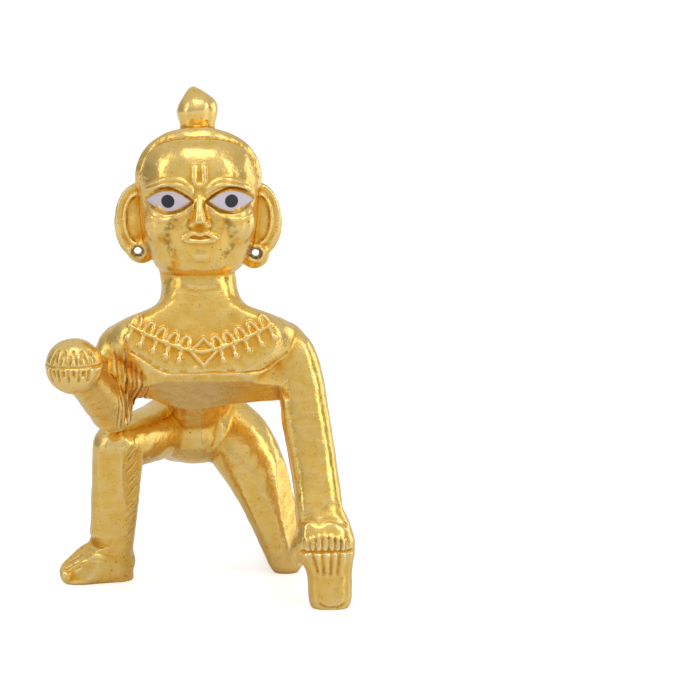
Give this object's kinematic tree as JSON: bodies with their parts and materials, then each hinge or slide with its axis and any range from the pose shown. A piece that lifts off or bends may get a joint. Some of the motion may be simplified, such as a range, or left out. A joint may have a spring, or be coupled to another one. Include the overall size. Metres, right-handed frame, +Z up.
{
  "type": "laddu gopal idol",
  "caption": "Small cast brass idol of a crawling child holding up a round sweet, with stuck-on enamel eyes.",
  "frame": {"origin": "on the ground, under the middle of the figure's box", "axes": "+Z up, the figure faces -Y, its left hand is on the +X side"},
  "size_m": [0.0534, 0.058, 0.09],
  "materials": {
    "cast_brass": "cast, filed and polished, with darker recesses",
    "white_enamel": "satin enamel with a painted black pupil"
  },
  "bodies": {
    "root": {"idol_body": "cast_brass", "eye_right": "white_enamel", "eye_left": "white_enamel"}
  },
  "joints": []
}
